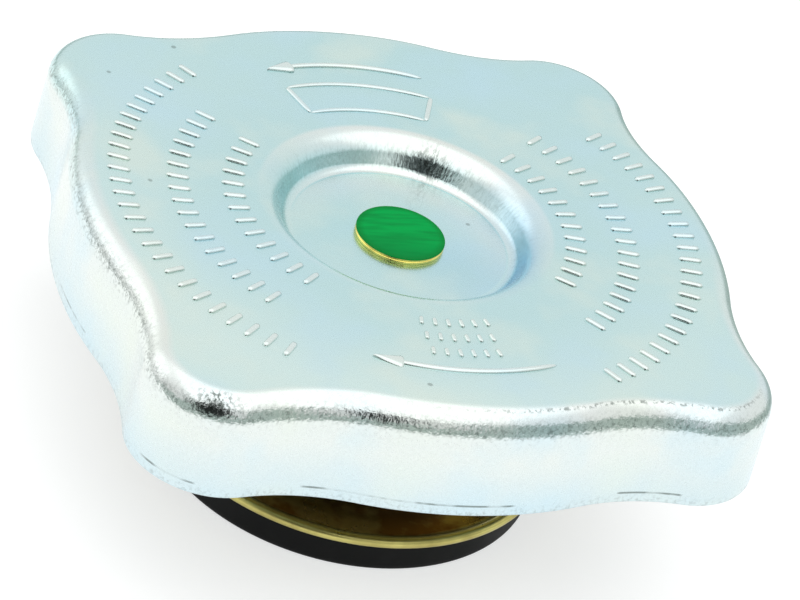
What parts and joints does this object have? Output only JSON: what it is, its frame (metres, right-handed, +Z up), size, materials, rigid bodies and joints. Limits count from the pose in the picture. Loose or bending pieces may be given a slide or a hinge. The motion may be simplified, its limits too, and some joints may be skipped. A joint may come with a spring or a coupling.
{
  "type": "radiator cap",
  "caption": "Pressure cap for a radiator filler neck: lobed pressed cover with a sunk dish and rivet, cam lugs, neck gasket, sprung pressure valve and inner vacuum valve.",
  "frame": {"origin": "on the cap's axis, in the lower sealing face of the valve gasket, on which the cap stands", "axes": "+Z up along the rivet, from the valve gasket to the cover; +X through the middle of a side that carries a cam lug"},
  "size_m": [0.0758, 0.0758, 0.0335],
  "materials": {
    "zinc_steel": "bright zinc plate on pressed steel",
    "painted_brass": "turned brass, the top of the head painted green",
    "brass": "pressed or turned brass, dulled",
    "spring_steel": "drawn spring wire",
    "rubber": "moulded, matt"
  },
  "bodies": {
    "cover": {"cover_shell": "zinc_steel", "rivet": "painted_brass", "friction_washer": "brass"},
    "carrier": {"diaphragm": "brass", "neck_gasket": "rubber", "spring_seat": "brass", "spring_housing": "brass", "pressure_spring": "spring_steel"},
    "pressure_valve": {"valve_hub": "brass", "valve_plate": "brass", "valve_gasket": "rubber", "gasket_retainer": "brass", "vacuum_spring": "spring_steel"},
    "vacuum_valve": {"vacuum_valve": "brass", "vacuum_seal": "rubber", "vacuum_clip": "spring_steel"}
  },
  "joints": [
    {"name": "carrier_swivel", "type": "hinge", "parent": "cover", "child": "carrier", "pos_m": [0, 0, 0.0272], "axis": [0, 0, 1], "continuous": true},
    {"name": "pressure_valve_slide", "type": "slide", "parent": "carrier", "child": "pressure_valve", "axis": [0, 0, 1], "range_m": [0, 0.005], "stiffness_N_per_m": 2600, "springref_m": -0.023, "deforming": ["pressure_spring"]},
    {"name": "vacuum_valve_slide", "type": "slide", "parent": "pressure_valve", "child": "vacuum_valve", "axis": [0, 0, -1], "range_m": [0, 0.0015], "stiffness_N_per_m": 300, "springref_m": -0.0025, "deforming": ["vacuum_spring"]}
  ]
}
